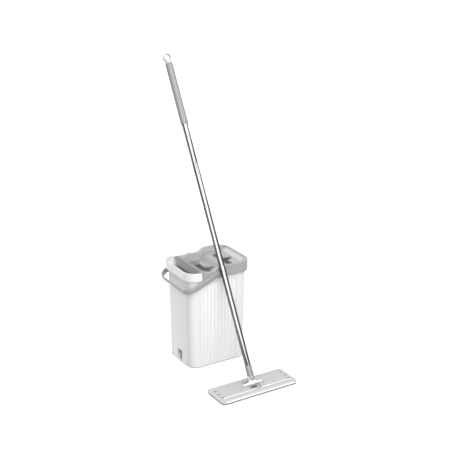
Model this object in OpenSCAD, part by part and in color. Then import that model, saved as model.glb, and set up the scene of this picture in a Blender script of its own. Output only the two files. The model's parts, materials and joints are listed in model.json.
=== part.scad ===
// Flat mop leaning on its two-slot wringer bucket.
// Millimetres, +Z up. The origin is the centre of the bucket's underside, on the floor.
// +X runs along the bucket's long side, +Y points to the back, the mop stands at the front.

/* [Bucket] */
// Length of the bucket's base
base_length = 250; // [210:5:300]
// Width of the base, front to back
base_width = 192; // [165:1:230]
// How much longer the shell is at its top
flare_length = 10; // [0:1:20]
// How much wider the shell is at its top
flare_width = 15; // [0:1:24]
// Height of the shell's wall under the wringer frame
shell_height = 392; // [320:1:470]
// Corner radius of the shell
shell_corner = 42; // [30:1:60]
// Wall of the shell
shell_wall = 3; // [2.5:0.1:4]
// Thickness of the shell's floor
shell_floor = 4; // [3:0.5:6]

/* [Ribbed panels] */
// Height of the ribbed panels' top edge
panel_top = 350; // [150:1:370]
// Left edge of the panel
panel_left = -84; // [-100:1:-40]
// Right edge of the panel
panel_right = 74; // [40:1:90]
// Depth of the panel
panel_depth = 1.2; // [0.6:0.1:1.4]
// Distance from rib to rib
rib_pitch = 15.5; // [12:0.5:24]
// Radius of a rib's round face
rib_radius = 9; // [6:0.5:12]

/* [Pour rim] */
// Height of the pour rim's top edge above the shell's wall
pour_rise = 11; // [6:1:20]
// Depth of the rim that wraps the left end
pour_depth = 33; // [24:1:45]
// Where the pour rim ends and the wringer frame begins
pour_end = -84; // [-100:1:-70]

/* [Wringer frame] */
// How far the frame's skirt stands out from the shell's top, on each side
skirt_overhang = 8.5; // [7:0.5:14]
// Height of the skirt below the low rim's top
skirt_drop = 26; // [18:1:40]
// Wall of the frame
frame_wall = 3; // [2.4:0.1:4]
// How far the right part of the rim stands above the left part
rim_step = 15; // [8:1:24]
// Length of the rim's rising curve
step_length = 32; // [24:1:50]
// Where the rise ends on the front rim
front_step_end = -6; // [-24:1:-4]
// Where the rise ends on the back rim
back_step_end = 48; // [0:1:60]
// Width of the rim's flat top
rim_width = 14.6; // [13:0.1:20]
// Depth of the basin below the low rim
basin_depth = 33; // [24:1:45]
// How far the basin's floor rises to its right part
floor_rise = 26; // [12:1:30]
// Where the floor starts to rise
floor_rise_start = 16; // [10:1:24]
// Length of the floor's rising curve
floor_rise_length = 34; // [26:1:40]

/* [Wringing slots] */
// Length of a slot, front to back
slot_length = 140; // [130:1:150]
// Width of a slot
slot_width = 23; // [20:0.5:26]
// Left side of the washing slot
wash_slot = -21; // [-26:1:-16]
// Left side of the drying slot
dry_slot = 62; // [58:1:66]
// Width of the notch that the mop's joint passes through
notch_width = 34; // [32:1:40]
// How far the notch reaches from the slot
notch_reach = 26; // [22:1:28]
// Length of a press pad
pad_length = 42; // [30:1:48]
// Thickness of a press pad
press_thick = 9; // [6:0.5:12]
// Height of a press pad
press_height = 8; // [5:0.5:12]
// Height of a scraper blade
scraper_height = 16; // [10:1:24]
// Thickness of a scraper blade
scraper_thick = 5; // [3:0.5:8]

/* [Rim strip] */
// Length of the strip on the right end of the basin
strip_length = 132; // [90:1:140]
// Width of the strip
strip_width = 20; // [14:1:22]
// Thickness of the strip
strip_thick = 2.5; // [1.5:0.1:4]

/* [Drain] */
// Height of the drain above the floor
drain_height = 37; // [30:1:60]
// Radius of the drain's flange
drain_flange = 13; // [12.5:0.5:18]
// Radius of the drain's bore
drain_bore = 8; // [6:0.5:10]
// How far the recess round the drain goes in
drain_recess = 7; // [5:0.5:9]
// Width of the recess
recess_width = 38; // [37:1:60]

/* [Bail] */
// Place of the bail's pivots along the bucket
bail_x = -16; // [-30:1:-12]
// How far the level bail's cross bar reaches past the frame's left end
bail_gap = 21; // [16:1:40]
// Height of the bail's band
bail_band = 22; // [16:1:26]
// Thickness of the bail's band
bail_thick = 5; // [4:0.5:7]
// Angle of the lowered bail below level
bail_drop = 22.4; // [18:0.2:26]
// Radius of the bail's corners
bail_corner = 42; // [30:1:50]
// Radius of the bail's pins
pin_radius = 4; // [3:0.5:6]

/* [Mop head] */
// Length of the mop head
head_length = 330; // [260:5:420]
// Width of the mop head
head_width = 122; // [100:1:126]
// Distance from the bucket's centre to the mop head's centre
head_distance = 336; // [300:1:420]
// Corner radius of the head
head_corner = 16; // [10:1:24]
// Thickness of the pad under the plate
pad_thick = 5; // [4:0.5:10]
// Height of the plate's side
plate_edge = 4.5; // [3:0.5:7]
// Rise of the plate's bevelled border
bevel_rise = 3.5; // [2:0.5:6]
// Width of the bevelled border
bevel_width = 9; // [6:1:14]
// Distance of the plate's ridges from its centre line
ridge_offset = 38; // [30:1:42]
// Height of a ridge
ridge_height = 3; // [1.5:0.5:5]
// Width of a ridge
ridge_width = 5; // [3:0.5:8]

/* [Mop joint] */
// Height of the plate hinge's axis
hinge_height = 20; // [19:0.5:26]
// Length of the yoke's bar
bar_length = 80; // [64:1:100]
// Radius of the yoke's bar
bar_radius = 4; // [3.8:0.1:6]
// Distance from the plate hinge to the swing pivot
knuckle_rise = 22; // [21:0.5:30]
// Length of the pole socket above the swing pivot
socket_length = 46; // [40:1:70]
// Sideways lean of the pole, towards the left
pole_tilt = 0.4; // [0:0.1:0.6]
// Wall of the pole socket round the tube
socket_wall = 1.6; // [1.4:0.1:3]

/* [Pole] */
// Length of the mop from the plate hinge to the tip of its loop
mop_length = 1299; // [1000:1:1500]
// Radius of the pole's tube
pole_radius = 11; // [9:0.5:12]
// Wall of the tube
tube_wall = 1; // [0.8:0.1:1.5]
// Length of the grip
grip_length = 242; // [120:1:320]
// Radius of the grip
grip_radius = 14.5; // [13.5:0.5:18]
// Radius of the round hole that the mop hangs by
hang_radius = 11; // [8:0.5:12]
// Height of the hang loop
loop_height = 37; // [34:1:44]
// Thickness of the hang loop
loop_thick = 10; // [7:0.5:14]

/* [Hidden] */
$fn = 64;

part_gap = 0.3;          // between pieces that don't touch
run_gap = 0.05;          // radial clearance of a turning fit
big = 1600;              // larger than any piece
curve_steps = 12;

// Shell
top_length = base_length + flare_length;
top_width = base_width + flare_width;
end_slope = atan(flare_length / 2 / shell_height);
face_slope = atan(flare_width / 2 / shell_height);
rib_sink = 1;            // how far a rib stands out of the panel
rib_count = floor((panel_right - panel_left - rib_pitch) / rib_pitch) + 1;
rib_start = (panel_left + panel_right - (rib_count - 1) * rib_pitch) / 2;

// Frame
lid_length = top_length + 2 * (skirt_overhang + 1.5);
lid_width = top_width + 2 * skirt_overhang;
lid_corner = shell_corner + skirt_overhang;
low_rim = shell_height + frame_wall;
high_rim = low_rim + rim_step;
skirt_bottom = low_rim - skirt_drop;
pour_top = shell_height + pour_rise;
pour_bottom = pour_top - pour_depth;
frame_left = pour_end + 2 * part_gap;
basin_left = frame_left + rim_width + 5;
basin_right = lid_length / 2 - 6;
basin_width = lid_width - 2 * rim_width;
basin_corner = lid_corner - rim_width;
tub_wall = 2;
floor_low = low_rim - basin_depth;
floor_high = floor_low + floor_rise;
slope_foot = 28;         // length of the sloped right end of the basin
slope_top = high_rim - 2;
slope_angle = atan2(slope_top - floor_high, slope_foot + 1);

// Drain
drain_x = -base_length / 2 - drain_height * tan(end_slope) + drain_recess;
recess_height = drain_height + drain_flange + 1;
drain_collar = 3;
nut_thick = 3;

// Bail
bail_z = low_rim - 9.4;
arm_gap = 0.4;
arm_inside = lid_width / 2 + arm_gap;
arm_outside = arm_inside + bail_thick;
bail_reach = lid_length / 2 + bail_x + bail_gap;
pin_head = 8.5;
pin_head_thick = 3;

// Mop head
plate_base = pad_thick + 1;
plate_top = plate_base + plate_edge + bevel_rise;
head_y = -head_distance;
lug_length = 6;
axle_radius = 2.5;
well_length = 52;
well_width = 66;
water_slots = 3;

// Mop joint and lean: the pole's side just clears the edge of the high rim
rest_y = head_distance - lid_width / 2;
rest_z = high_rim - hinge_height;
lean = atan2(rest_y, rest_z) - asin((pole_radius + part_gap) / norm([rest_y, rest_z]));
tongue_thick = 13;
cheek_thick = 5;
socket_radius = pole_radius + socket_wall;
knuckle_pin_radius = 3;
socket_start = 14;       // where the socket's body begins above the swing pivot
socket_grip = 20;        // how far the tube goes into the socket

// Pole
tube_start = knuckle_rise + socket_length - socket_grip;
collar_height = 7;
tube_end = mop_length - loop_height - 1;
coupler_length = 60;
coupler_ring = 1.2;
tube_length = (tube_end - tube_start - 2 * coupler_ring) / 3;
middle_start = tube_start + tube_length + coupler_ring;
upper_start = middle_start + tube_length + coupler_ring;
grip_end = mop_length - loop_height - collar_height;

white = [0.95, 0.95, 0.95];
mid_grey = [0.58, 0.59, 0.6];
light_grey = [0.75, 0.76, 0.77];
dark_grey = [0.25, 0.25, 0.26];
silver = [0.78, 0.79, 0.8];
steel = [0.72, 0.72, 0.74];

// ---------- shared shapes ----------

// Rectangle with round corners, centred
module round_rect(length, width, radius) {
  square([length - 2 * radius, width], center = true);
  square([length, width - 2 * radius], center = true);
  for (x = [-1, 1], y = [-1, 1])
    translate([x * (length / 2 - radius), y * (width / 2 - radius)]) circle(r = radius);
}

// The shell's tapered body, drawn in by inset on every side, between two heights
module taper_body(inset, z_low, z_high) {
  hull() for (z = [z_low, z_high - 0.01]) translate([0, 0, z])
    linear_extrude(0.01) round_rect(
      base_length + flare_length * z / shell_height - 2 * inset,
      base_width + flare_width * z / shell_height - 2 * inset, shell_corner - inset);
}

// Upright block over the frame's outline, drawn in by inset
module lid_block(inset, z_low, z_high) {
  translate([0, 0, z_low]) linear_extrude(z_high - z_low)
    round_rect(lid_length - 2 * inset, lid_width - 2 * inset, lid_corner - inset);
}

// Everything to the right of x, or to the left of it
module right_of(x) { translate([x, -big / 2, -big / 2]) cube(big); }
module left_of(x) { translate([x - big, -big / 2, -big / 2]) cube(big); }

// A smooth rise from 0 to 1
function rise(t) = t <= 0 ? 0 : t >= 1 ? 1 : (1 - cos(180 * t)) / 2;

// Side profile of a surface that rises from low to high between start and start + length
function profile(low, high, start, length) = concat(
  [[-big / 2, low]],
  [for (i = [0 : curve_steps]) let (t = i / curve_steps)
    [start + length * t, low + (high - low) * rise(t)]],
  [[big / 2, high]]);

// Solid below a side profile, between two places front to back
module below(points, y_low, y_high) {
  translate([0, y_high, 0]) rotate([90, 0, 0]) linear_extrude(y_high - y_low)
    polygon(concat(points, [[big / 2, -10], [-big / 2, -10]]));
}

// Solid below the frame's stepped top, lowered by drop
module under_rim(drop) {
  for (side = [[-big / 2, 0, front_step_end], [0, big / 2, back_step_end]])
    below(profile(low_rim - drop, high_rim - drop, side[2] - step_length, step_length),
          side[0], side[1]);
}

// Solid below the basin's floor, lowered by drop
module under_floor(drop) {
  below(profile(floor_low - drop, floor_high - drop, floor_rise_start, floor_rise_length),
        -big / 2, big / 2);
}

// Upright block over the basin's outline, made larger by grow
module basin_block(grow) {
  length = basin_right - basin_left + 2 * grow;
  translate([(basin_left + basin_right) / 2, 0, floor_low - 10]) linear_extrude(high_rim)
    round_rect(length, basin_width + 2 * grow, basin_corner + grow);
}

// Opening for the mop head, with the notch for its joint
module slot(x) {
  translate([x, -slot_length / 2, floor_low - 20]) cube([slot_width, slot_length, big]);
  translate([x + slot_width - 1, -notch_width / 2, floor_low - 20])
    cube([notch_reach + 1 - notch_width / 4, notch_width, big]);
  translate([x + slot_width + notch_reach - notch_width / 2, 0, floor_low - 20])
    cylinder(r = notch_width / 2, h = big);
}

// Shape with its axis along +Y, starting at y
module along_y(x, y, z) { translate([x, y, z]) rotate([-90, 0, 0]) children(); }

// Places its children at a distance up the swivel's leaning axis, with +Z along it
module on_mop(distance) {
  translate([0, head_y, hinge_height]) rotate([-lean, 0, 0])
    translate([0, 0, distance]) children();
}

// The same for the pole, which tilts sideways about the swing pivot
module on_pole(distance) {
  on_mop(knuckle_rise) rotate([0, -pole_tilt, 0])
    translate([0, 0, distance - knuckle_rise]) children();
}

module tube(outer, inner, length) {
  difference() {
    cylinder(r = outer, h = length);
    translate([0, 0, -1]) cylinder(r = inner, h = length + 2);
  }
}

// ---------- bucket ----------

// Shallow recess in a long face, with upright ribs standing in it
module ribbed_face() {
  length = panel_right - panel_left;
  height = panel_top - 8;
  face_tilt = [-face_slope, 0, 0];
  difference() {
    translate([panel_left, base_width / 2, 0]) rotate(face_tilt)
      translate([0, -panel_depth, -1]) cube([length, 10, panel_top + 1]);
    for (i = [0 : rib_count - 1])
      translate([rib_start + i * rib_pitch, base_width / 2, 0]) rotate(face_tilt)
        translate([0, rib_sink - panel_depth - rib_radius, -2])
          cylinder(r = rib_radius, h = height + 2);
  }
}

module bucket_shell() {
  color(white) difference() {
    union() {
      intersection() {
        taper_body(0, 0, shell_height);
        union() {
          right_of(pour_end);
          translate([0, 0, pour_bottom + shell_wall - big / 2]) cube(big, center = true);
        }
      }
      intersection() {
        lid_block(0, pour_bottom, pour_top);
        left_of(pour_end);
      }
    }
    difference() {
      taper_body(shell_wall, shell_floor, shell_height + 1);
      translate([drain_x - 1, -recess_width / 2 - shell_wall, 0])
        cube([shell_wall + 1, recess_width + 2 * shell_wall, recess_height + shell_wall]);
      for (y = [-recess_width / 2 - shell_wall, recess_width / 2])
        translate([-base_length / 2 - 5, y, 0])
          cube([drain_recess + 10, shell_wall, recess_height + shell_wall]);
      translate([-base_length / 2 - 5, -recess_width / 2, recess_height])
        cube([drain_recess + 10, recess_width, shell_wall]);
    }
    intersection() {
      lid_block(shell_wall, pour_bottom + shell_wall, pour_top + 1);
      left_of(pour_end + 1);
    }
    translate([-base_length, -recess_width / 2, shell_floor])
      cube([base_length + drain_x, recess_width, recess_height - shell_floor]);
    translate([drain_x - 1, 0, drain_height]) rotate([0, 90, 0])
      cylinder(r = drain_bore + drain_collar + run_gap, h = 10);
    for (turn = [0, 1]) mirror([0, turn, 0]) ribbed_face();
  }
}

// Everything below top that is outside the shell's body drawn in by inset
module outside_shell(inset, top) {
  difference() {
    lid_block(-5, floor_low - 20, top);
    taper_body(inset, floor_low - 21, top + 1);
  }
}

// Hollow cover that goes over the shell's top, open below and to the right of its left wall
module skirt() {
  difference() {
    intersection() {
      lid_block(0, skirt_bottom, high_rim);
      under_rim(0);
      right_of(frame_left);
    }
    intersection() {
      lid_block(frame_wall - 0.2, skirt_bottom - 1, high_rim);
      under_rim(frame_wall);
      right_of(frame_left + frame_wall);
    }
    intersection() {
      outside_shell(shell_wall + part_gap, shell_height);
      taper_body(-part_gap, skirt_bottom - 1, shell_height);
    }
  }
}

// Outside of the basin, kept within the shell's wall up to the wall's top
module tub() {
  difference() {
    union() {
      difference() {
        intersection() {
          basin_block(tub_wall);
          under_rim(0);
        }
        under_floor(frame_wall);
      }
      sloped_end();
    }
    outside_shell(shell_wall + part_gap, shell_height);
  }
}

module wringer_frame() {
  color(mid_grey) difference() {
    union() {
      skirt();
      tub();
    }
    difference() {
      basin_block(0);
      under_floor(0);
      sloped_end();
      outside_shell(shell_wall + part_gap + tub_wall, shell_height + frame_wall);
    }
    slot(wash_slot);
    slot(dry_slot);
    strip_seat();
    for (y = [-1, 1]) along_y(bail_x, y * lid_width / 2 - 10, bail_z)
      cylinder(r = pin_radius, h = 20);
  }
}

// Slope from the rim down to the basin's floor at the right end
module sloped_end() {
  intersection() {
    basin_block(1);
    translate([0, basin_width / 2 + 1, 0]) rotate([90, 0, 0]) linear_extrude(basin_width + 2)
      polygon([[basin_right + 1, slope_top], [basin_right + 1, slope_top - frame_wall],
               [basin_right - slope_foot, floor_high - frame_wall],
               [basin_right - slope_foot, floor_high]]);
  }
}

// Places its children on the middle of the slope, with +Z square to it
module on_slope() {
  translate([basin_right - (slope_foot - 1) / 2, 0, (slope_top + floor_high) / 2])
    rotate([0, -slope_angle, 0]) children();
}

module strip_seat() {
  on_slope() translate([0, 0, 4]) cube([strip_width, strip_length, 10], center = true);
}

module rim_strip() {
  color(light_grey) on_slope() translate([0, 0, strip_thick / 2 - 1])
    cube([strip_width, strip_length, strip_thick], center = true);
}

// Block beside a slot whose sloping face presses the mop head's back
module press_pad(x, level, side) {
  far = notch_width / 2 + 6 + pad_length;
  along_y(x + slot_width, side > 0 ? far - pad_length : -far, level) mirror([0, 1, 0])
    linear_extrude(pad_length) polygon([[0, 0], [press_thick, 0], [press_thick, press_height],
      [press_thick / 2, press_height], [0, press_height / 3]]);
}

module wash_pad_front() { color(light_grey) press_pad(wash_slot, floor_low, -1); }
module wash_pad_rear() { color(light_grey) press_pad(wash_slot, floor_low, 1); }
module dry_pad_front() { color(light_grey) press_pad(dry_slot, floor_high, -1); }
module dry_pad_rear() { color(light_grey) press_pad(dry_slot, floor_high, 1); }

// Rubber blade under the left side of a slot, with a lip that reaches into the slot
module scraper(x, level) {
  translate([0, slot_length / 2, level - frame_wall]) rotate([90, 0, 0]) linear_extrude(slot_length)
    polygon([[x - scraper_thick, 0], [x, 0], [x, 2 - scraper_height], [x + 2, -scraper_height],
             [x - scraper_thick, -scraper_height]]);
}

module wash_scraper() { color(dark_grey) scraper(wash_slot, floor_low); }
module dry_scraper() { color(dark_grey) scraper(dry_slot, floor_high); }

// Shape with its axis along +X from the drain's wall
module at_drain(x) { translate([drain_x + x, 0, drain_height]) rotate([0, 90, 0]) children(); }

module drain_outlet() {
  color(mid_grey) difference() {
    union() {
      at_drain(-drain_collar) cylinder(r = drain_flange, h = drain_collar);
      at_drain(0) cylinder(r = drain_bore + drain_collar, h = shell_wall + nut_thick + 1);
    }
    at_drain(-drain_collar - 1) cylinder(r = drain_bore, h = 20);
  }
}

module drain_seal() {
  color(dark_grey) difference() {
    at_drain(shell_wall) cylinder(r = drain_flange, h = nut_thick);
    at_drain(0) cylinder(r = drain_bore + drain_collar, h = 20);
  }
}

module drain_cap() {
  color(dark_grey) {
    at_drain(-drain_collar - part_gap - 3.5) cylinder(r = drain_flange - 3, h = 3.5);
    at_drain(-drain_collar - part_gap - 3.5) hull() for (slide = [0, 1])
      translate([19 * slide, -8 * slide]) cylinder(r = 6, h = 3.5);
    at_drain(-drain_collar - part_gap - 0.1) cylinder(r = drain_bore - run_gap, h = 8);
  }
}

module bail_pins() {
  color(mid_grey) for (turn = [0, 1]) mirror([0, turn, 0]) {
    along_y(bail_x, lid_width / 2 - 6, bail_z)
      cylinder(r = pin_radius, h = 6 + arm_gap + bail_thick + 0.5);
    along_y(bail_x, arm_outside + 0.3, bail_z) cylinder(r = pin_head, h = pin_head_thick);
  }
}

module bail_handle() {
  eye = bail_band / 2 + 1;
  color(mid_grey) translate([bail_x, 0, bail_z]) rotate([0, -bail_drop, 0]) difference() {
    union() {
      linear_extrude(bail_band, center = true) difference() {
        round_rect(2 * bail_reach + bail_thick, 2 * arm_outside, bail_corner);
        round_rect(2 * bail_reach - bail_thick, 2 * arm_inside, bail_corner - bail_thick);
        translate([0, -big / 2]) square(big);
      }
      for (y = [arm_inside, -arm_outside]) along_y(0, y, 0) cylinder(r = eye, h = bail_thick);
    }
    along_y(0, -big / 2, 0) cylinder(r = pin_radius + run_gap, h = big);
  }
}

// ---------- mop head ----------

module head_slab(inset, z_low, z_high) {
  translate([0, head_y, z_low]) linear_extrude(z_high - z_low)
    round_rect(head_length - 2 * inset, head_width - 2 * inset, head_corner - inset);
}

module mop_plate() {
  slot_pitch = (head_width - 2 * bevel_width) / (water_slots + 1);
  ridge_start = well_length / 2 - 14;
  ridge_end = head_length / 2 - 24;
  color(silver) difference() {
    union() {
      head_slab(0, plate_base, plate_base + plate_edge);
      hull() {
        head_slab(0, plate_base + plate_edge - 0.1, plate_base + plate_edge);
        head_slab(bevel_width, plate_top - 0.1, plate_top);
      }
      for (x = [-1, 1], y = [-1, 1])
        translate([x > 0 ? ridge_start : -ridge_end, head_y + y * ridge_offset, plate_top - 1])
          translate([0, -ridge_width / 2, 0])
            cube([ridge_end - ridge_start, ridge_width, ridge_height + 1]);
      for (x = [-1, 1]) hinge_lug(x);
    }
    translate([-well_length / 2, head_y - well_width / 2, plate_base + 2])
      cube([well_length, well_width, plate_top]);
    for (x = [-1, 1], i = [0 : water_slots - 1])
      translate([x * (head_length / 2 - 18), head_y + (i - (water_slots - 1) / 2) * slot_pitch, 0])
        translate([-6.5, -3.5, 0]) cube([13, 7, 40]);
    translate([-big / 2, head_y, hinge_height]) rotate([0, 90, 0]) cylinder(r = axle_radius, h = big);
  }
}

// Upright ear at one end of the yoke's bar
module hinge_lug(side) {
  x = side > 0 ? bar_length / 2 + part_gap : -bar_length / 2 - part_gap - lug_length;
  translate([x, head_y - bar_radius, plate_top - 1])
    cube([lug_length, 2 * bar_radius, hinge_height - plate_top + 1]);
  translate([x, head_y, hinge_height]) rotate([0, 90, 0]) cylinder(r = bar_radius, h = lug_length);
}

module hook_strips() {
  color(white) for (y = [-1, 1])
    translate([-head_length / 2 + 30, head_y + y * head_width / 4 - 12.5, pad_thick])
      cube([head_length - 60, 25, plate_base - pad_thick]);
}

module mop_pad() { color(white) head_slab(1.5, 0, pad_thick); }

// ---------- mop joint ----------

module yoke() {
  color(white) difference() {
    union() {
      on_mop(0) rotate([0, 90, 0]) cylinder(r = bar_radius, h = bar_length, center = true);
      on_mop(knuckle_rise) rotate([90, 0, 0])
        cylinder(r = 11, h = tongue_thick, center = true);
      on_mop(0) translate([-11, -tongue_thick / 2, -3]) cube([22, tongue_thick, knuckle_rise + 3]);
    }
    on_mop(0) rotate([0, 90, 0]) cylinder(r = axle_radius + run_gap, h = big, center = true);
    on_mop(knuckle_rise) rotate([90, 0, 0]) cylinder(r = knuckle_pin_radius, h = big, center = true);
  }
}

module hinge_axle() {
  length = bar_length + 2 * (part_gap + lug_length);
  color(steel) on_mop(0) rotate([0, 90, 0]) cylinder(r = axle_radius, h = length, center = true);
}

module knuckle_pin() {
  length = tongue_thick + 2 * (part_gap + cheek_thick) - 1;
  color(steel) on_mop(knuckle_rise) rotate([90, 0, 0])
    cylinder(r = knuckle_pin_radius, h = length, center = true);
}

module pole_socket() {
  cheek_inside = tongue_thick / 2 + part_gap;
  color(mid_grey) difference() {
    union() {
      on_pole(knuckle_rise + socket_start)
        cylinder(r = socket_radius, h = socket_length - socket_start);
      intersection() {
        on_pole(knuckle_rise - 12) cylinder(r = socket_radius, h = socket_start + 13);
        on_pole(knuckle_rise) union() {
          rotate([90, 0, 0]) cylinder(r = 11, h = 40, center = true);
          translate([-11, -20, 0]) cube([22, 40, socket_start + 1]);
        }
        on_pole(knuckle_rise) difference() {
          cube([60, 2 * (cheek_inside + cheek_thick), 60], center = true);
          cube([60, 2 * cheek_inside, 60], center = true);
        }
      }
    }
    on_pole(knuckle_rise) rotate([90, 0, 0])
      cylinder(r = knuckle_pin_radius + run_gap, h = big, center = true);
    on_pole(tube_start) cylinder(r = pole_radius, h = big);
    on_pole(tube_start + socket_grip / 2) rotate([0, 90, 0]) cylinder(r = 2, h = 30);
  }
}

module socket_screw() {
  color(steel) on_pole(tube_start + socket_grip / 2) rotate([0, 90, 0])
    translate([0, 0, pole_radius]) cylinder(r = 2, h = socket_wall + 1);
}

// ---------- pole ----------

module pole_tube(start, length) {
  color(steel) on_pole(start) tube(pole_radius, pole_radius - tube_wall, length);
}

module lower_tube() { pole_tube(tube_start, tube_length); }
module middle_tube() { pole_tube(middle_start, tube_length); }
module upper_tube() { pole_tube(upper_start, tube_length); }

// Spigot inside two tubes, with a thin ring between their ends
module coupler(seam) {
  color(mid_grey) {
    on_pole(seam - coupler_length / 2) cylinder(r = pole_radius - tube_wall, h = coupler_length);
    on_pole(seam - coupler_ring) cylinder(r = pole_radius, h = coupler_ring);
  }
}

module lower_coupler() { coupler(middle_start); }
module upper_coupler() { coupler(upper_start); }

module pole_grip() {
  color(mid_grey) on_pole(grip_end - grip_length) tube(grip_radius, pole_radius, grip_length);
}

module hang_cap() {
  eye_radius = hang_radius + 7;
  color(white) difference() {
    union() {
      on_pole(grip_end) cylinder(r = grip_radius - 0.5, h = collar_height);
      on_pole(mop_length - eye_radius) rotate([90, 0, 0])
        cylinder(r = eye_radius, h = loop_thick, center = true);
      on_pole(grip_end + collar_height - 1) translate([-11, -loop_thick / 2, 0])
        cube([22, loop_thick, loop_height - eye_radius - sqrt(eye_radius * eye_radius - 121) + 2]);
    }
    on_pole(mop_length - eye_radius) rotate([90, 0, 0])
      cylinder(r = hang_radius, h = big, center = true);
    on_pole(grip_end - 1) cylinder(r = pole_radius, h = tube_end - grip_end + 1);
  }
}

bucket_shell();
wringer_frame();
wash_pad_front();
wash_pad_rear();
dry_pad_front();
dry_pad_rear();
wash_scraper();
dry_scraper();
rim_strip();
drain_outlet();
drain_seal();
drain_cap();
bail_pins();
bail_handle();
mop_plate();
hook_strips();
mop_pad();
yoke();
hinge_axle();
knuckle_pin();
pole_socket();
socket_screw();
lower_tube();
lower_coupler();
middle_tube();
upper_coupler();
upper_tube();
pole_grip();
hang_cap();
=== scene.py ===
import bmesh
import bpy
import json
import math
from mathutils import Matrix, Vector, noise


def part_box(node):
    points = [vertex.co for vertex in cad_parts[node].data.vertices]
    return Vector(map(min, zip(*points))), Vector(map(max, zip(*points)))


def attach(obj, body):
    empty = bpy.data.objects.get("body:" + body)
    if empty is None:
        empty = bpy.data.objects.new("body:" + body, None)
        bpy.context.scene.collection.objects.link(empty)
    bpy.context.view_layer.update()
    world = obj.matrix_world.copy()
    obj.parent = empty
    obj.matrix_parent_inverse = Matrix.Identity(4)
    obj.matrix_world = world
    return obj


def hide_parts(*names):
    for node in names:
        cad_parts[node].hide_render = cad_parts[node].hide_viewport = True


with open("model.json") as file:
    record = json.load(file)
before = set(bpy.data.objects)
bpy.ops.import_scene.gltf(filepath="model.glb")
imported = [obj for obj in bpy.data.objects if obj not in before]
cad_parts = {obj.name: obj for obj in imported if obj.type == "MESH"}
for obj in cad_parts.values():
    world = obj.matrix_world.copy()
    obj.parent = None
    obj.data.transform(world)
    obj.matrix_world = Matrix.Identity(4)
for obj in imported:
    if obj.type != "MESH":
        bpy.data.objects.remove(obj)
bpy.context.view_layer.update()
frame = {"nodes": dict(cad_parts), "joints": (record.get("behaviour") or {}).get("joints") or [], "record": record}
nodes = frame["nodes"]
joints = {joint["name"]: joint for joint in frame["joints"]}
mounts = {mount["name"]: mount for mount in frame["record"]["mounts"]}
bodyOf = {n: b for b, members in frame["record"]["behaviour"]["bodies"].items() for n in members}
mm = 0.001

view = {
    "azimuth": -31.4,      # degrees, seen from the front left
    "elevation": 19.8,
    "distance": 3.91,
    "target": (0.116, 0.023, 0.5),
    "lens": 78.4,
}

studio = {
    "skyStops": [(0.0, 0.38), (0.5, 0.5), (1.0, 1.4)],    # brightness from straight down to straight up
    "floorSize": 60,
    "floorColour": (0.97, 0.97, 0.97),
    "suns": [              # from, strength, softness in degrees
        ((-0.3, -0.76, 0.58), 1.95, 55),
    ],
    # soft boxes that are only seen as reflections
    "boxes": {
        "front": {"azimuth": -26, "elevation": 29, "distance": 3.6, "aimedAt": (0, -0.1, 0.6),
                  "width": 5.4, "height": 2.8, "radiance": 7.0},
        "back": {"azimuth": -167, "elevation": 34, "distance": 3.6, "aimedAt": (0, 0, 0.4),
                 "width": 1.8, "height": 1.4, "radiance": 3.0},
        "right": {"azimuth": 50, "elevation": 54, "distance": 3.0, "aimedAt": (0, -0.2, 0.2),
                  "width": 2.0, "height": 1.4, "radiance": 6.0},
    },
}


def fromAngles(azimuth, elevation):
    azimuth, elevation = math.radians(azimuth), math.radians(elevation)
    return Vector((math.sin(azimuth) * math.cos(elevation),
                   -math.cos(azimuth) * math.cos(elevation), math.sin(elevation)))


def addCamera():
    back = fromAngles(view["azimuth"], view["elevation"])
    camera = bpy.data.objects.new("camera", bpy.data.cameras.new("camera"))
    camera.data.lens = view["lens"]
    camera.data.sensor_width = 36
    camera.location = Vector(view["target"]) + back * view["distance"]
    camera.rotation_euler = back.to_track_quat("Z", "Y").to_euler()
    bpy.context.scene.collection.objects.link(camera)
    bpy.context.scene.camera = camera


def addSun(number, source, strength, softness):
    sun = bpy.data.objects.new(f"sun{number}", bpy.data.lights.new(f"sun{number}", "SUN"))
    sun.data.energy = strength
    sun.data.angle = math.radians(softness)
    sun.rotation_euler = Vector(source).to_track_quat("Z", "Y").to_euler()
    sun.visible_glossy = False
    bpy.context.scene.collection.objects.link(sun)


def addBox(name, box):
    light = bpy.data.lights.new(name + "Box", "AREA")
    light.shape = "RECTANGLE"
    light.size, light.size_y = box["width"], box["height"]
    light.energy = box["radiance"] * math.pi * box["width"] * box["height"]
    panel = bpy.data.objects.new(name + "Box", light)
    back = fromAngles(box["azimuth"], box["elevation"])
    panel.location = Vector(box["aimedAt"]) + back * box["distance"]
    panel.rotation_euler = back.to_track_quat("Z", "Y").to_euler()
    panel.visible_diffuse = False
    panel.visible_camera = False
    bpy.context.scene.collection.objects.link(panel)


def addSky():
    # brighter overhead than near the floor
    world = bpy.data.worlds.new("studio")
    world.use_nodes = True
    tree = world.node_tree
    place = tree.nodes.new("ShaderNodeTexCoord")
    split = tree.nodes.new("ShaderNodeSeparateXYZ")
    fit = tree.nodes.new("ShaderNodeMapRange")
    fit.inputs["From Min"].default_value = -1
    ramp = tree.nodes.new("ShaderNodeValToRGB")
    elements = ramp.color_ramp.elements
    while len(elements) < len(studio["skyStops"]):
        elements.new(1)
    for element, (height, level) in zip(elements, studio["skyStops"]):
        element.position = height
        element.color = (level, level, level, 1)
    tree.links.new(place.outputs["Generated"], split.inputs[0])
    tree.links.new(split.outputs["Z"], fit.inputs["Value"])
    tree.links.new(fit.outputs[0], ramp.inputs["Fac"])
    tree.links.new(ramp.outputs["Color"], tree.nodes["Background"].inputs["Color"])
    bpy.context.scene.world = world


def addLights():
    addSky()
    for number, sun in enumerate(studio["suns"]):
        addSun(number, *sun)
    for name, box in studio["boxes"].items():
        addBox(name, box)
    bpy.context.scene.view_settings.view_transform = "Standard"
    bpy.context.scene.view_settings.look = "None"


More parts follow.
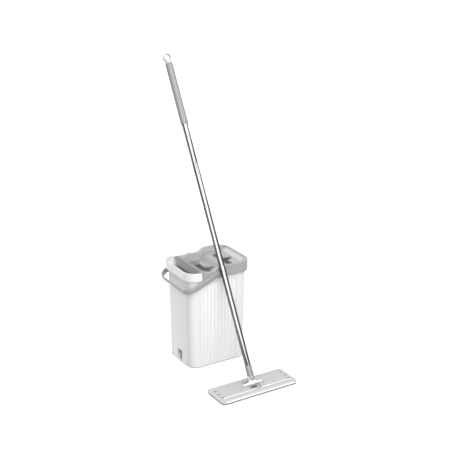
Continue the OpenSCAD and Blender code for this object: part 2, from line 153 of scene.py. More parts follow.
class Value:
    # one output socket, with arithmetic that adds Math nodes

    def __init__(self, shader, socket):
        self.shader, self.socket = shader, socket

    def calc(self, operation, first, second):
        return self.shader.add("ShaderNodeMath", {"operation": operation}, {0: first, 1: second})

    def __add__(self, other): return self.calc("ADD", self, other)
    def __radd__(self, other): return self.calc("ADD", other, self)
    def __sub__(self, other): return self.calc("SUBTRACT", self, other)
    def __rsub__(self, other): return self.calc("SUBTRACT", other, self)
    def __mul__(self, other): return self.calc("MULTIPLY", self, other)
    def __rmul__(self, other): return self.calc("MULTIPLY", other, self)

    def clamp(self, low, high):
        return self.calc("MINIMUM", self.calc("MAXIMUM", self, low), high)


class Shader:
    # one material with a Principled shader

    def __init__(self, name, **constants):
        self.material = bpy.data.materials.new(name)
        self.material.use_nodes = True
        self.tree = self.material.node_tree
        self.principled = self.tree.nodes["Principled BSDF"]
        for socket, value in constants.items():
            self.set(socket.replace("_", " "), value)

    def add(self, kind, settings=None, sockets=None, output=0):
        node = self.tree.nodes.new(kind)
        for key, value in (settings or {}).items():
            if key == "stops":
                self.setStops(node.color_ramp, value)
            else:
                setattr(node, key, value)
        for key, value in (sockets or {}).items():
            self.plug(node.inputs[key], value)
        return Value(self, node.outputs[output])

    def setStops(self, ramp, stops):
        while len(ramp.elements) < len(stops):
            ramp.elements.new(1)
        for element, (place, level) in zip(ramp.elements, stops):
            element.position = place
            element.color = (level, level, level, 1)

    def plug(self, socket, value):
        if isinstance(value, Value):
            self.tree.links.new(value.socket, socket)
        else:
            socket.default_value = value

    def set(self, socket, value):
        if isinstance(value, tuple) and len(value) == 3:
            value = (*value, 1)
        self.plug(self.principled.inputs[socket], value)

    def coords(self):
        return self.add("ShaderNodeTexCoord", output="Object")

    def normal(self):
        return self.add("ShaderNodeNewGeometry", output="Normal")

    def split(self, vector):
        # the three parts of a vector
        node = self.add("ShaderNodeSeparateXYZ", None, {0: vector}).socket.node
        return [Value(self, node.outputs[axis]) for axis in "XYZ"]

    def dimmed(self, colour, level):
        return self.add("ShaderNodeVectorMath", {"operation": "SCALE"}, {0: colour, "Scale": level})

    def stretched(self, vector, scale, rotation=(0, 0, 0)):
        turned = self.add("ShaderNodeMapping", {"vector_type": "POINT"},
                          {"Vector": vector, "Rotation": rotation})
        return self.add("ShaderNodeVectorMath", {"operation": "MULTIPLY"}, {0: turned, 1: scale})

    def noise(self, vector, scale, detail=3.0, roughness=0.5):
        return self.add("ShaderNodeTexNoise", None,
                        {"Vector": vector, "Scale": scale, "Detail": detail, "Roughness": roughness})

    def cells(self, vector, scale):
        return self.add("ShaderNodeTexVoronoi", None, {"Vector": vector, "Scale": scale}, "Distance")

    def ramp(self, value, stops):
        return self.add("ShaderNodeValToRGB", {"stops": stops}, {"Fac": value})

    def mixColour(self, factor, first, second):
        colours = [(*c, 1) if isinstance(c, tuple) else c for c in (first, second)]
        return self.add("ShaderNodeMix", {"data_type": "RGBA"},
                        {0: factor, 6: colours[0], 7: colours[1]}, 2)

    def bump(self, height, strength, distance, below=None):
        sockets = {"Height": height, "Strength": strength, "Distance": distance}
        if below is not None:
            sockets["Normal"] = below
        return self.add("ShaderNodeBump", None, sockets)

    def crevices(self, reach):
        # 0 deep in a groove, 1 in the open
        return self.add("ShaderNodeAmbientOcclusion", {"samples": 8, "only_local": True},
                        {"Distance": reach}, "AO")

    def edgeWear(self, radius):
        # 1 on worn convex edges, 0 on flat faces
        bevel = self.add("ShaderNodeBevel", {"samples": 4}, {"Radius": radius})
        same = self.add("ShaderNodeVectorMath", {"operation": "DOT_PRODUCT"},
                        {0: bevel, 1: self.normal()}, "Value")
        return self.ramp(1 - same, [(0.02, 0), (0.2, 1)])


def mouldedPlastic(name, colour, darker, worn, roughness, grain=0.25, coat=0.0, footShadowHeight=0, paintShading=None):
    # satin moulded plastic: faint flow clouds, fine spark-eroded grain, handling marks, rubbed edges; painted
    # shade in crevices and, where asked, painted shadow above the floor and a painted light and shade pass
    shader = Shader(name, Coat_Roughness=0.2, Specular_IOR_Level=0.5)
    place = shader.coords()
    clouds = shader.noise(place, 7.0, 4.0)
    marks = shader.noise(shader.stretched(place, (30, 30, 9)), 4.0, 5.0, 0.65)
    fine = shader.noise(place, 1500.0, 2.0)
    body = shader.mixColour((clouds * 0.6 + marks * 0.4).clamp(0, 1), darker, colour)
    rubbed = shader.mixColour(shader.edgeWear(1.2 * mm) * (marks * 0.8), body, worn)
    # painted shade: darker where nearby surfaces close in, from an occlusion node
    creviceShade = shader.ramp(shader.crevices(5 * mm), [(0.55, 0.42), (0.95, 0)])
    wornAndShaded = shader.mixColour(creviceShade, rubbed, tuple(level * 0.35 for level in darker))
    if footShadowHeight:
        # painted contact shadow along the rim right above the floor
        height = shader.split(place)[2]
        footShade = shader.ramp(height * (1 / footShadowHeight), [(0.45, 0.85), (1.0, 0)])
        wornAndShaded = shader.mixColour(footShade, wornAndShaded, tuple(level * 0.2 for level in darker))
    # painted light and shade laid over the colour
    if paintShading:
        wornAndShaded = paintShading(shader, place, wornAndShaded)
    shader.set("Base Color", wornAndShaded)
    shader.set("Roughness", roughness + (marks - 0.5) * 0.16 + (fine - 0.5) * 0.05)
    shader.set("Coat Weight", coat)
    shader.set("Normal", shader.bump(fine, grain, 0.06 * mm, shader.bump(clouds, 0.12, 0.8 * mm)))
    return shader.material


basin = {
    "wallEnd": -70,        # right edge of the left wall's painted shade, mm from the middle
    "floorEnd": 14,        # right edge of the low floor's painted shade
    "floorTop": -20,       # its highest level, mm above the bail's pins
    "wallShade": 0.42,
    "floorShade": 0.6,
    "backWallGlow": 1.3,
}


def paintBasinShading(shader, place, body):
    # painted shade on the left wall and the low floor, painted light on the back wall
    across, deep, high = shader.split(place)
    facing = shader.split(shader.normal())
    front, up = facing[1] * -1, facing[2]
    wall = shader.ramp((basin["wallEnd"] * mm - across) * 60 + 0.5, [(0, 0), (1, 1)])
    wall = wall * shader.ramp(up, [(0.3, 0), (0.8, 1)])
    low = shader.ramp((pinLevel + basin["floorTop"] * mm - high) * 120 + 0.5, [(0, 0), (1, 1)])
    left = shader.ramp((basin["floorEnd"] * mm - across) * 50 + 0.5, [(0, 0), (1, 1)])
    lowFloor = low * left * shader.ramp(up, [(0.6, 0), (0.9, 1)])
    backWall = shader.ramp(deep * 20, [(0.2, 0), (1, 1)]) * shader.ramp(front, [(0.5, 0), (0.8, 1)])
    shade = (1 - wall * (1 - basin["wallShade"])) * (1 - lowFloor * (1 - basin["floorShade"]))
    return shader.dimmed(body, shade * (1 + backWall * (basin["backWallGlow"] - 1)))


leftCorners = {"shade": 0.2}      # how much the painted shade darkens the turn


def paintCornerShade(shader, place, body):
    # painted shade where the wall turns into the rounded left corners
    facing = shader.split(shader.normal())
    left, front = facing[0] * -1, facing[1] * -1
    turning = shader.ramp(front, [(0.02, 0), (0.3, 1), (0.62, 0.55), (0.9, 0)])
    turning = turning * shader.ramp(left, [(0.1, 0), (0.5, 1)])
    return shader.dimmed(body, 1 - turning * leftCorners["shade"])


def softRubber(name, colour, lighter):
    shader = Shader(name, Specular_IOR_Level=0.35)
    place = shader.coords()
    dust = shader.noise(place, 60.0, 5.0, 0.7)
    grit = shader.noise(place, 2200.0, 2.0)
    shader.set("Base Color", shader.mixColour(shader.ramp(dust, [(0.35, 0), (0.8, 1)]), colour, lighter))
    shader.set("Roughness", 0.62 + dust * 0.2)
    shader.set("Normal", shader.bump(grit, 0.4, 0.08 * mm))
    return shader.material


def polishedChrome(name, lean):
    # dark bright plating with very fine lengthwise drawing lines and a few hazy finger marks
    shader = Shader(name, Metallic=1.0, Specular_Tint=(0.25, 0.25, 0.25))
    along = shader.stretched(shader.coords(), (700, 700, 3), (lean, 0, 0))
    lines = shader.noise(along, 1.0, 3.0)
    haze = shader.noise(shader.coords(), 26.0, 5.0, 0.6)
    smudge = shader.ramp(haze, [(0.55, 0), (0.75, 1)])
    shader.set("Base Color", shader.mixColour(lines, (0.125, 0.125, 0.127), (0.16, 0.16, 0.163)))
    shader.set("Roughness", 0.07 + smudge * 0.05 + lines * 0.02)
    shader.set("Normal", shader.bump(lines, 0.03, 0.01 * mm))
    return shader.material


def brushedPin(name):
    shader = Shader(name, Metallic=1.0)
    lines = shader.noise(shader.stretched(shader.coords(), (1, 40, 40)), 60.0, 3.0)
    shader.set("Base Color", shader.mixColour(lines, (0.42, 0.42, 0.43), (0.62, 0.62, 0.63)))
    shader.set("Roughness", 0.28 + lines * 0.15)
    shader.set("Normal", shader.bump(lines, 0.3, 0.05 * mm))
    return shader.material


def pearlPlastic(name):
    # the plate's silver plastic, with tiny bright flakes and scuffs across its length
    shader = Shader(name, Specular_IOR_Level=0.5, Coat_Roughness=0.15)
    place = shader.coords()
    flakes = shader.ramp(shader.cells(place, 900.0), [(0.12, 1), (0.3, 0)])
    clouds = shader.noise(place, 9.0, 4.0)
    scuffs = shader.noise(shader.stretched(place, (12, 90, 40)), 3.0, 5.0, 0.7)
    base = shader.mixColour(clouds, (0.42, 0.423, 0.427), (0.48, 0.483, 0.487))
    shader.set("Base Color", shader.mixColour(flakes * 0.3, base, (0.75, 0.75, 0.76)))
    shader.set("Metallic", 0.05 + flakes * 0.2)
    shader.set("Roughness", 0.34 + (scuffs - 0.5) * 0.2)
    shader.set("Coat Weight", 0.25)
    shader.set("Normal", shader.bump(shader.noise(place, 1400.0, 2.0), 0.2, 0.06 * mm))
    return shader.material


def loopedCloth(name, colour, shade, sheen=0.35):
    shader = Shader(name, Specular_IOR_Level=0.2, Sheen_Weight=sheen, Sheen_Roughness=0.5)
    place = shader.coords()
    loops = shader.cells(place, 420.0)
    tufts = shader.noise(place, 160.0, 4.0, 0.6)
    shader.set("Base Color", shader.mixColour((loops * 0.8 + tufts * 0.5).clamp(0, 1), shade, colour))
    shader.set("Roughness", 0.86 + tufts * 0.1)
    shader.set("Normal", shader.bump(loops, 0.8, 1.2 * mm, shader.bump(tufts, 0.6, 1.5 * mm)))
    return shader.material


def gripSleeve(name, lean):
    # foam-backed sleeve: satin skin over fine pores, with slow mottling
    shader = Shader(name, Specular_IOR_Level=0.5, Coat_Roughness=0.3)
    place = shader.coords()
    pores = shader.cells(place, 700.0)
    mottle = shader.noise(shader.stretched(place, (30, 30, 12), (lean, 0, 0)), 2.0, 5.0, 0.6)
    shader.set("Base Color", shader.mixColour(mottle, (0.19, 0.192, 0.197), (0.24, 0.242, 0.247)))
    shader.set("Roughness", 0.4 + mottle * 0.14)
    shader.set("Coat Weight", 0.2)
    shader.set("Normal", shader.bump(pores, 0.12, 0.15 * mm))
    return shader.material


def floorPaint(name):
    shader = Shader(name, Roughness=0.9, Specular_IOR_Level=0.0)
    cast = shader.noise(shader.coords(), 0.3, 2.0)
    shader.set("Base Color", shader.mixColour(cast, studio["floorColour"], (0.985, 0.985, 0.985)))
    return shader.material


pivot = Vector(joints["pole_swing"]["pos_m"])
poleTop = Vector(mounts["hang_hole"]["pos_m"])
poleAxis = (poleTop - pivot).normalized()
swingAxis = Vector(joints["pole_swing"]["axis"]).normalized()
poleSide = swingAxis.cross(poleAxis).normalized()
hinge = Vector(joints["yoke_hinge"]["pos_m"])
swivelAxis = (pivot - hinge).normalized()
leanAngle = math.atan2(-swingAxis.z, swingAxis.y)
pinLevel = joints["bail_hinge"]["pos_m"][2]

whitePlastic = mouldedPlastic("whitePlastic", (0.81, 0.81, 0.812), (0.78, 0.78, 0.783),
                              (0.86, 0.86, 0.86), 0.33, 0.15, 0.2)
# its colour carries a painted contact shadow above the floor and painted shade at the rounded left corners
shellPlastic = mouldedPlastic("shellPlastic", (0.81, 0.81, 0.812), (0.78, 0.78, 0.783),
                              (0.86, 0.86, 0.86), 0.38, 0.15, 0.1, 4.5 * mm, paintCornerShade)
# near-white plastic whose colour is a painted highlight on the plate's beads
beadHighlightPlastic = mouldedPlastic("beadHighlightPlastic", (0.94, 0.94, 0.94), (0.91, 0.91, 0.912),
                             (0.95, 0.95, 0.95), 0.35)
greyPlastic = mouldedPlastic("greyPlastic", (0.35, 0.353, 0.358), (0.31, 0.313, 0.318),
                             (0.46, 0.46, 0.465), 0.34)
# its colour carries painted shade and painted light in the basin
framePlastic = mouldedPlastic("framePlastic", (0.36, 0.363, 0.368), (0.32, 0.323, 0.328),
                              (0.48, 0.48, 0.485), 0.42, paintShading=paintBasinShading)
capPlastic = mouldedPlastic("capPlastic", (0.5, 0.5, 0.502), (0.45, 0.45, 0.453),
                            (0.56, 0.56, 0.56), 0.45)
socketPlastic = mouldedPlastic("socketPlastic", (0.24, 0.242, 0.246), (0.2, 0.202, 0.206),
                               (0.36, 0.36, 0.365), 0.4)
palePlastic = mouldedPlastic("palePlastic", (0.47, 0.473, 0.476), (0.42, 0.423, 0.426),
                             (0.58, 0.58, 0.58), 0.48)
darkRubber = softRubber("darkRubber", (0.035, 0.035, 0.037), (0.075, 0.075, 0.08))
greyRubber = softRubber("greyRubber", (0.22, 0.22, 0.222), (0.32, 0.32, 0.323))
poleChrome = polishedChrome("poleChrome", leanAngle)
pinSteel = brushedPin("pinSteel")
plateSilver = pearlPlastic("plateSilver")
padMicrofibre = loopedCloth("padMicrofibre", (0.3, 0.3, 0.303), (0.16, 0.16, 0.163), 0.1)
hookTape = loopedCloth("hookTape", (0.66, 0.66, 0.66), (0.45, 0.45, 0.46))
gripFoam = gripSleeve("gripFoam", leanAngle)
print("materials made")

rounding = {"fromAngle": 30, "sharpAngle": 38}      # degrees: edges that get rounded, edges that stay sharp


def addPiece(name, work, material, node, bevel=0.0, segments=3):
    # turns a bmesh into a piece that stands for one node
    mesh = bpy.data.meshes.new(name)
    bmesh.ops.recalc_face_normals(work, faces=work.faces)
    work.to_mesh(mesh)
    work.free()
    mesh.materials.append(material)
    piece = bpy.data.objects.new(name, mesh)
    bpy.context.scene.collection.objects.link(piece)
    for face in mesh.polygons:
        face.use_smooth = True
    mesh.set_sharp_from_angle(angle=math.radians(rounding["sharpAngle"]))
    if bevel:
        modifier = piece.modifiers.new("round", "BEVEL")
        modifier.width = bevel
        modifier.segments = segments
        modifier.limit_method = "ANGLE"
        modifier.angle_limit = math.radians(rounding["fromAngle"])
        modifier.harden_normals = True     # flat faces stay flat up to their round edges
        bakeModifiers(piece)
    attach(piece, bodyOf[node])
    return piece


def bakeModifiers(piece):
    graph = bpy.context.evaluated_depsgraph_get()
    mesh = bpy.data.meshes.new_from_object(piece.evaluated_get(graph))
    piece.modifiers.clear()
    old = piece.data
    piece.data = mesh
    bpy.data.meshes.remove(old)


def nodeMesh(node):
    # the node's own shape, with flat faces joined so that only real edges are left
    work = bmesh.new()
    work.from_mesh(nodes[node].data)
    bmesh.ops.remove_doubles(work, verts=work.verts, dist=0.01 * mm)
    bmesh.ops.dissolve_limit(work, angle_limit=math.radians(1.0), verts=work.verts, edges=work.edges)
    return work


def softened(node, material, width, segments=3):
    # the node's own shape with its edges rounded, width in mm
    piece = addPiece(node + "_soft", nodeMesh(node), material, node, width * mm, segments)
    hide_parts(node)


def span(node, origin, axis):
    reach = [(vertex.co - origin).dot(axis) for vertex in nodes[node].data.vertices]
    return min(reach), max(reach)


def girth(node, origin, axis):
    # greatest distance of the node's surface from an axis
    arms = [(vertex.co - origin) for vertex in nodes[node].data.vertices]
    return max((arm - axis * arm.dot(axis)).length for arm in arms)


def lathe(work, origin, axis, side, profile, sides=64, wave=None):
    # surface of revolution from (distance along the axis, radius) pairs
    # wave(turn, distance) adds to the radius
    other = axis.cross(side)
    rings = []
    for distance, radius in profile:
        ring = []
        for step in range(sides):
            turn = 2 * math.pi * step / sides
            reach = radius + (wave(turn, distance) if wave else 0)
            ring.append(work.verts.new(origin + axis * distance
                                       + (side * math.cos(turn) + other * math.sin(turn)) * reach))
        rings.append(ring)
    for low, high in zip(rings, rings[1:]):
        for step in range(sides):
            after = (step + 1) % sides
            work.faces.new((low[step], low[after], high[after], high[step]))
    return rings


def closeEnds(work, rings):
    work.faces.new(rings[0])
    work.faces.new(rings[-1])


def roundedProfile(low, high, radius, edge, steps=4):
    # the two ends of a rod's profile, rounded over
    profile = []
    for step in range(steps + 1):
        turn = math.pi / 2 * step / steps
        profile.append((low + edge * (1 - math.sin(turn)), radius - edge * (1 - math.cos(turn))))
    return profile[::-1], [(low + high - distance, reach) for distance, reach in profile]


def prism(work, outline, origin, across, up, thick, depth):
    # flat outline in the across/up plane, given thickness both ways along thick
    faces = []
    for side in (-1, 1):
        start = origin + thick * (side * depth)
        faces.append([work.verts.new(start + across * x + up * y) for x, y in outline])
    front, back = faces
    work.faces.new(front)
    work.faces.new(back[::-1])
    for step in range(len(outline)):
        after = (step + 1) % len(outline)
        work.faces.new((front[step], back[step], back[after], front[after]))


def arc(centre, radius, start, end, steps):
    turns = [math.radians(start + (end - start) * step / steps) for step in range(steps + 1)]
    return [(centre[0] + radius * math.cos(turn), centre[1] + radius * math.sin(turn)) for turn in turns]


def brick(work, low, high):
    corners = [work.verts.new((x, y, z)) for x in (low[0], high[0]) for y in (low[1], high[1])
               for z in (low[2], high[2])]
    for face in ((0, 1, 3, 2), (4, 6, 7, 5), (0, 4, 5, 1), (2, 3, 7, 6), (0, 2, 6, 4), (1, 5, 7, 3)):
        work.faces.new([corners[i] for i in face])


addCamera()
addLights()
floorMesh = bpy.data.meshes.new("floor")
half = studio["floorSize"] / 2
floorCorners = [(-half, -half, 0), (half, -half, 0), (half, half, 0), (-half, half, 0)]
floorMesh.from_pydata(floorCorners, [], [(0, 1, 2, 3)])
floorMesh.materials.append(floorPaint("floorPaint"))
floor = bpy.data.objects.new("floor", floorMesh)
bpy.context.scene.collection.objects.link(floor)
floor.visible_diffuse = False      # keeps the undersides from being lit up
print("studio ready")

shell = {"foot": 3.2, "edge": 1.3}      # roundings in mm


def addShell():
    # the shell stands on a rounded foot that leaves a thin shadow line
    work = nodeMesh("bucket_shell")
    bottom = [edge for edge in work.edges if all(vertex.co.z < 0.2 * mm for vertex in edge.verts)
              and edge.calc_face_angle(0) > math.radians(60)]
    bmesh.ops.bevel(work, geom=bottom, offset=shell["foot"] * mm, segments=3, affect="EDGES", profile=0.5)
    piece = addPiece("bucket_shell_soft", work, shellPlastic, "bucket_shell", shell["edge"] * mm)
    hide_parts("bucket_shell")


addShell()
softened("wringer_frame", framePlastic, 2.4, 4)
softened("rim_strip", palePlastic, 0.8)
softened("bail_pins", greyPlastic, 1.0)
softened("drain_outlet", greyPlastic, 0.7)
softened("drain_seal", darkRubber, 0.6)
softened("drain_cap", greyRubber, 0.9)
softened("wash_scraper", darkRubber, 0.4)
softened("dry_scraper", darkRubber, 0.4)
print("bucket made")

stud = {"radius": 3.2, "proud": 1.2, "sunk": 0.8, "up": 1, "aside": 1, "round": 0.8}


def addDrainStud():
    # pale knob on the cap's pull tab
    low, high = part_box("drain_cap")
    middle = (low + high) / 2
    start = Vector((low[0] + stud["sunk"] * mm, middle.y - stud["aside"] * mm, middle.z + stud["up"] * mm))
    length = (stud["proud"] + stud["sunk"]) * mm
    first, last = roundedProfile(0, length, stud["radius"] * mm, stud["round"] * mm)
    work = bmesh.new()
    closeEnds(work, lathe(work, start, Vector((-1, 0, 0)), Vector((0, 1, 0)), first + last, 32))
    addPiece("drain_cap_stud", work, whitePlastic, "drain_cap")


addDrainStud()

bail = {
    "drop": 22.4,          # degrees below level
    "reach": 145,          # pins to the cross bar, mm
    "side": 114.9,         # middle of the bucket to the arms
    "bend": 39.5,
    "band": 11,            # half of the band's height
    "inner": 2.5, "outer": 2.5, "crown": 1.9, "round": 1.3, "trim": 0.3,
    "armStart": 8, "eye": 12, "eyeRound": 0.8, "hole": 4.05,
}


def bailPath():
    # middle line of the band as (towards the cross bar, sideways) pairs, from the front arm to the back arm
    centre = (bail["reach"] - bail["bend"], bail["side"] - bail["bend"])
    armLength = centre[0] - bail["armStart"]
    half = [(bail["armStart"] + armLength * step / 8, bail["side"]) for step in range(8)]
    half += arc(centre, bail["bend"], 90, 0, 14)
    return [(x, -y) for x, y in half] + half[::-1]


def bandSection():
    # (outwards, up) outline: flat inside, crowned outside, round edges
    tall, crown = bail["band"], bail["crown"]
    points = []
    for step in range(13):
        up = -1 + 2 * step / 12
        height = tall - (bail["trim"] if abs(up) == 1 else 0)
        points.append((bail["outer"] - crown * up * up, up * height))
    inside = -bail["inner"]
    points += [(inside + bail["round"], tall), (inside, tall - bail["round"]),
               (inside, -tall + bail["round"]), (inside + bail["round"], -tall)]
    return points


def addBail():
    start = Vector(joints["bail_hinge"]["pos_m"])
    drop = math.radians(bail["drop"])
    ahead = Vector((-math.cos(drop), 0, -math.sin(drop)))
    up = Vector((-math.sin(drop), 0, math.cos(drop)))
    side = Vector((0, 1, 0))
    path = [(ahead * x + side * y) * mm for x, y in bailPath()]
    work = bmesh.new()
    rings = []
    for number, middle in enumerate(path):
        before, after = path[max(0, number - 1)], path[min(len(path) - 1, number + 1)]
        outward = (after - before).normalized().cross(up)
        if outward.dot(middle) < 0:
            outward.negate()
        rings.append([work.verts.new(start + middle + (outward * x + up * z) * mm)
                      for x, z in bandSection()])
    for low, high in zip(rings, rings[1:]):
        for step in range(len(low)):
            after = (step + 1) % len(low)
            work.faces.new((low[step], low[after], high[after], high[step]))
    closeEnds(work, rings)
    for place in (bail["side"], -bail["side"]):
        low, high = place - bail["inner"], place + bail["outer"]
        rim, corner = bail["eye"], bail["eyeRound"]
        ring = [(low, bail["hole"]), (low, rim - corner), (low + corner, rim), (high - corner, rim),
                (high, rim - corner), (high, bail["hole"]), (low, bail["hole"])]
        lathe(work, start, side, ahead, [(distance * mm, radius * mm) for distance, radius in ring], 48)
    bmesh.ops.remove_doubles(work, verts=work.verts, dist=0.001 * mm)
    piece = addPiece("bail_handle_band", work, greyPlastic, "bail_handle")
    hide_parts("bail_handle")


addBail()

pads = {"ridges": 6, "ridgeWidth": 2.2, "ridgeHeight": 0.9, "ridgeSunk": 1, "ridgeStart": 0.45}


def pressPad(node):
    # pad with raised ridges across its sloping face
    softened(node, palePlastic, 0.9)
    low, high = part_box(node)
    pitch = (high[1] - low[1]) / (pads["ridges"] + 1)
    start = low[0] + (high[0] - low[0]) * pads["ridgeStart"]
    half = pads["ridgeWidth"] / 2 * mm
    sunk = pads["ridgeSunk"] * mm
    work = bmesh.new()
    for number in range(pads["ridges"]):
        middle = low[1] + pitch * (number + 1)
        brick(work, (start, middle - half, high[2] - sunk),
              (high[0] - sunk, middle + half, high[2] + pads["ridgeHeight"] * mm))
    addPiece(node + "_ridges", work, palePlastic, node, 0.5 * mm)


for node in ("wash_pad_front", "wash_pad_rear", "dry_pad_front", "dry_pad_rear"):
    pressPad(node)
print("press pads made")

softened("mop_plate", plateSilver, 2.2, 5)

plateRibs = {"length": 9, "width": 2.4, "height": 1.6, "sunk": 1, "inset": 29, "count": 4, "pitch": 26,
             "level": 8}


def addPlateRibs():
    # short raised ribs beside the water slots
    low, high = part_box("mop_plate")
    top = low[2] + plateRibs["level"] * mm
    middle = (low[1] + high[1]) / 2
    long, wide = plateRibs["length"] / 2 * mm, plateRibs["width"] / 2 * mm
    bottomZ, topZ = top - plateRibs["sunk"] * mm, top + plateRibs["height"] * mm
    work = bmesh.new()
    for side in (-1, 1):
        x = side * (high[0] - plateRibs["inset"] * mm)
        for number in range(plateRibs["count"]):
            y = middle + (number - (plateRibs["count"] - 1) / 2) * plateRibs["pitch"] * mm
            brick(work, (x - long, y - wide, bottomZ), (x + long, y + wide, topZ))
    addPiece("mop_plate_ribs", work, plateSilver, "mop_plate", 0.7 * mm)


addPlateRibs()

beads = {"edgeRadius": 2.7, "edgeInset": 1.9, "edgeEnd": 15, "edgeHeight": 3.0,
         "railRadius": 2.1, "railOut": 38, "railHeight": 9.6, "railStart": 13, "railEnd": 147}


def addBead(work, start, end, radius):
    # round bar with rounded ends
    axis = end - start
    first, last = roundedProfile(0, axis.length, radius, radius * 0.8, 5)
    closeEnds(work, lathe(work, start, axis.normalized(), Vector((0, 1, 0)), first + last, 20))


def addPlateBeads():
    # rolled long edges, and the front rail in two lengths, in near-white plastic that paints in their highlight
    # lines
    low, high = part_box("mop_plate")
    middle = (low[1] + high[1]) / 2
    edgeZ, railZ = low[2] + beads["edgeHeight"] * mm, low[2] + beads["railHeight"] * mm
    edges, rails = bmesh.new(), bmesh.new()
    for side in (-1, 1):
        y = (low[1] if side < 0 else high[1]) - side * beads["edgeInset"] * mm
        left, right = low[0] + beads["edgeEnd"] * mm, high[0] - beads["edgeEnd"] * mm
        addBead(edges, Vector((left, y, edgeZ)), Vector((right, y, edgeZ)), beads["edgeRadius"] * mm)
        left, right = sorted((side * beads["railStart"] * mm, side * beads["railEnd"] * mm))
        y = middle - beads["railOut"] * mm
        addBead(rails, Vector((left, y, railZ)), Vector((right, y, railZ)), beads["railRadius"] * mm)
    addPiece("mop_plate_edges", edges, beadHighlightPlastic, "mop_plate")
    addPiece("mop_plate_rails", rails, beadHighlightPlastic, "mop_plate")


addPlateBeads()

wellShadow = {"length": 28, "width": 10, "height": 2.6, "forward": 8, "right": 2, "floor": 2}


def addWellShadowPatch():
    # dark oval patch in the well, in front of the yoke's bar: a painted shadow under the bar
    low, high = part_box("mop_plate")
    middle = Vector(((low[0] + high[0]) / 2 + wellShadow["right"] * mm,
                     (low[1] + high[1]) / 2 - wellShadow["forward"] * mm, low[2] + wellShadow["floor"] * mm))
    long, wide = wellShadow["length"] / 2 * mm, wellShadow["width"] / 2 * mm
    outline = [(long * math.cos(turn), wide * math.sin(turn))
               for turn in (2 * math.pi * step / 40 for step in range(40))]
    work = bmesh.new()
    prism(work, outline, middle, Vector((1, 0, 0)), Vector((0, 1, 0)), Vector((0, 0, 1)),
          wellShadow["height"] * mm)
    addPiece("mop_plate_well_shadow", work, darkRubber, "mop_plate", 0.8 * mm)


addWellShadowPatch()

pad = {"cell": 3.5, "edgeSteps": 4, "roundness": 0.8, "tuft": 0.55, "corner": 14.5,
       "rowTurn": 1.7, "tuftScale": 300}


def looped(point, normal):
    # loop rows: small even bumps with a random part
    rows = math.sin(point.x / mm * pad["rowTurn"]) * math.sin(point.y / mm * pad["rowTurn"])
    return point + normal * (pad["tuft"] * mm * (0.5 * rows + noise.noise(point * pad["tuftScale"])))


def padOutline(low, high, corner):
    # points round the pad, about one cell apart
    points = []
    centres = [(high[0] - corner, high[1] - corner, 0), (low[0] + corner, high[1] - corner, 90),
               (low[0] + corner, low[1] + corner, 180), (high[0] - corner, low[1] + corner, 270)]
    for x, y, start in centres:
        points += arc((x, y), corner, start, start + 90, 8)
    full = []
    for first, second in zip(points, points[1:] + points[:1]):
        gap = math.dist(first, second)
        steps = max(1, round(gap / (pad["cell"] * mm)))
        full += [(first[0] + (second[0] - first[0]) * step / steps,
                  first[1] + (second[1] - first[1]) * step / steps) for step in range(steps)]
    return full


def addMopPad():
    low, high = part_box("mop_pad")
    edge = (high[2] - low[2]) / 2
    middle = (low[2] + high[2]) / 2
    centre = Vector(((low[0] + high[0]) / 2, (low[1] + high[1]) / 2, 0))
    outline = padOutline(low, high, pad["corner"] * mm)
    work = bmesh.new()
    rings = []
    for step in range(pad["edgeSteps"] * 2 + 1):
        turn = math.pi * (step / (pad["edgeSteps"] * 2) - 0.5)
        inset = edge * pad["roundness"] * (1 - math.cos(turn))
        ring = []
        for x, y in outline:
            outward = (Vector((x, y, 0)) - centre).normalized()
            point = Vector((x, y, middle + edge * math.sin(turn))) - outward * inset
            ring.append(work.verts.new(looped(point, outward * max(0.2, math.cos(turn)))))
        rings.append(ring)
    for lower, upper in zip(rings, rings[1:]):
        for step in range(len(lower)):
            after = (step + 1) % len(lower)
            work.faces.new((lower[step], lower[after], upper[after], upper[step]))
    closeEnds(work, rings)
    piece = addPiece("mop_pad_loops", work, padMicrofibre, "mop_pad")
    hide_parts("mop_pad")


addMopPad()
print("mop head made")

yokeShape = {
    "flare": 27, "flareHeight": 3,         # foot of the web on the bar
    "shoulder": 16, "shoulderHeight": 5.5,
    "neck": 10, "neckHeight": 13,
    "webDepth": 4.6, "eye": 11, "eyeDepth": 6.5,
    "barEnd": 3.3, "barMiddle": 4.0, "barCore": 0.1,
}


def addYoke():
    rise = (pivot - hinge).length
    across = Vector((1, 0, 0))
    half = span("yoke", hinge, across)[1]
    work = bmesh.new()
    flank = [(yokeShape["flare"] * mm, 0), (yokeShape["flare"] * mm, yokeShape["flareHeight"] * mm),
             (yokeShape["shoulder"] * mm, yokeShape["shoulderHeight"] * mm),
             (yokeShape["neck"] * mm, yokeShape["neckHeight"] * mm)]
    web = [(-flank[0][0], 0)] + flank + arc((0, rise), yokeShape["eye"] * mm, -20, 200, 20)
    web += [(-x, y) for x, y in flank[:0:-1]]
    prism(work, web, hinge, across, swivelAxis, swingAxis, yokeShape["webDepth"] * mm)
    eye = arc((0, rise), yokeShape["eye"] * mm, 0, 350, 35)
    prism(work, eye, hinge, across, swivelAxis, swingAxis, yokeShape["eyeDepth"] * mm)
    core, end = yokeShape["barCore"] * mm, yokeShape["barEnd"] * mm
    bar = [(-half, core), (-half, end), (0, yokeShape["barMiddle"] * mm), (half, end), (half, core)]
    closeEnds(work, lathe(work, hinge, across, swivelAxis, bar, 32))
    piece = addPiece("yoke_cast", work, whitePlastic, "yoke", 0.9 * mm)
    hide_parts("yoke")


addYoke()
softened("pole_socket", socketPlastic, 1.0)
softened("hinge_axle", pinSteel, 0.4)
softened("knuckle_pin", pinSteel, 0.4)
softened("socket_screw", pinSteel, 0.3)
print("joint made")

tube = {"wall": 1, "edge": 0.35, "sides": 72}


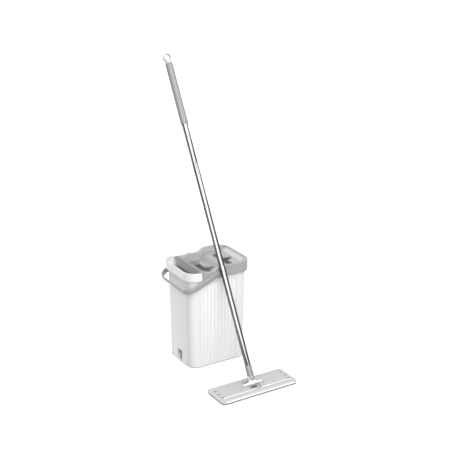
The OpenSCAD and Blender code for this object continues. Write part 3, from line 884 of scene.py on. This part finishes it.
def addTube(node):
    low, high = span(node, pivot, poleAxis)
    radius = girth(node, pivot, poleAxis)
    start, end = roundedProfile(low, high, radius, tube["edge"] * mm)
    inner = radius - tube["wall"] * mm
    profile = [(low, inner)] + start + end + [(high, inner)]
    work = bmesh.new()
    lathe(work, pivot, poleAxis, poleSide, profile, tube["sides"])
    lathe(work, pivot, poleAxis, poleSide, [(high, inner), (low, inner)], tube["sides"])
    bmesh.ops.remove_doubles(work, verts=work.verts, dist=0.001 * mm)
    piece = addPiece(node + "_drawn", work, poleChrome, node)
    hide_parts(node)


for node in ("lower_tube", "middle_tube", "upper_tube"):
    addTube(node)
softened("lower_coupler", greyPlastic, 0.3)
softened("upper_coupler", greyPlastic, 0.3)

grip = {"edge": 2.2, "endBand": 9, "groove": 0.5, "flute": 0.25, "flutes": 24, "fluteInset": 2,
        "fluteFade": 4}


def addGrip():
    low, high = span("pole_grip", pivot, poleAxis)
    radius = girth("pole_grip", pivot, poleAxis)
    start, end = roundedProfile(low, high, radius, grip["edge"] * mm, 6)
    bandLow, bandHigh = low + grip["endBand"] * mm, high - grip["endBand"] * mm
    groove = radius - grip["groove"] * mm
    body = []
    for place in (bandLow, bandHigh):
        body += [(place - 1 * mm, radius), (place - 0.5 * mm, groove), (place + 0.5 * mm, groove),
                 (place + 1 * mm, radius)]
    middle = [(bandLow + 3 * mm + (bandHigh - bandLow - 6 * mm) * step / 40, radius) for step in range(41)]
    profile = start + body[:4] + middle + body[4:] + end

    def flute(turn, distance):
        # shallow lengthwise flutes between the end bands
        inset = grip["fluteInset"] * mm
        depth = min(distance - bandLow - inset, bandHigh - inset - distance)
        inside = min(1, max(0, depth / (grip["fluteFade"] * mm)))
        return -inside * grip["flute"] * mm * (1 - math.cos(grip["flutes"] * turn)) / 2

    work = bmesh.new()
    rings = lathe(work, pivot, poleAxis, poleSide, profile, 192, flute)
    closeEnds(work, rings)
    piece = addPiece("pole_grip_sleeve", work, gripFoam, "pole_grip")
    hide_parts("pole_grip")


addGrip()
softened("hang_cap", capPlastic, 2.2, 4)
print("pole made")

nodes["hook_strips"].data.materials.clear()
nodes["hook_strips"].data.materials.append(hookTape)
